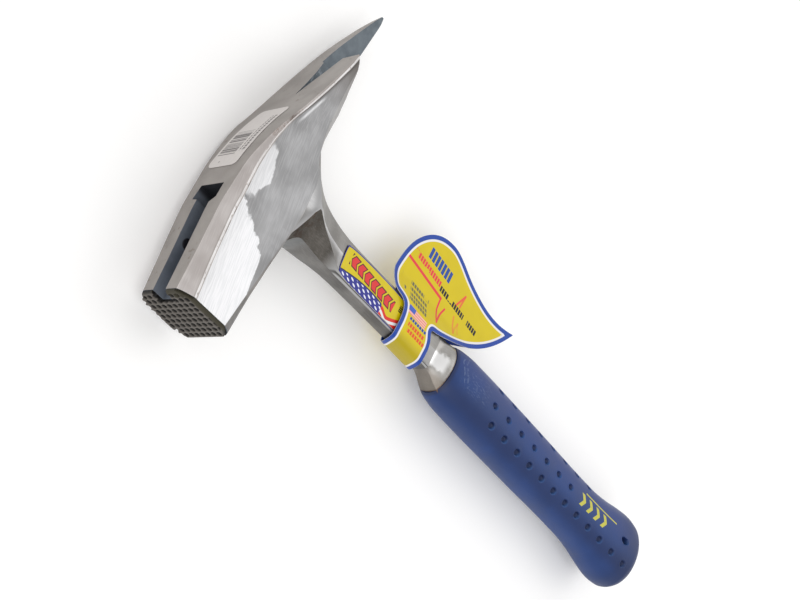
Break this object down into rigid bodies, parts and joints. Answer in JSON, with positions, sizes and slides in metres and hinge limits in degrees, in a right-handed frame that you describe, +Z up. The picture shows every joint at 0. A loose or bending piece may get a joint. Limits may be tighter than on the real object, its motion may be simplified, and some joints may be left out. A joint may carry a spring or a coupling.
{
  "type": "roofing hammer",
  "caption": "All-steel roofing hammer with a milled square face, nail-starter slot and split claw with a long and a short prong, a blue moulded grip and a sliding card hang tag.",
  "frame": {"origin": "bottom centre of the outline of the hammer lying on its far cheek", "axes": "+X up the handle towards the crown of the head, +Y towards the striking face, +Z up through the near cheek"},
  "size_m": [0.3285, 0.1818, 0.0396],
  "materials": {
    "steel": "ground and brushed, polished at the neck",
    "grip": "matte moulded, fine texture",
    "magnet": "dark sintered",
    "sticker": "matte paper",
    "label": "printed film",
    "tag": "coated printed card"
  },
  "bodies": {
    "hammer": {"hammer_forging": "steel", "grip": "grip", "nail_magnet": "magnet", "head_sticker": "sticker", "shank_label": "label"},
    "tag": {"hang_tag": "tag"}
  },
  "joints": [
    {"name": "tag_slide", "type": "slide", "parent": "hammer", "child": "tag", "axis": [1, 0, 0], "range_m": [0, 0.03]}
  ]
}
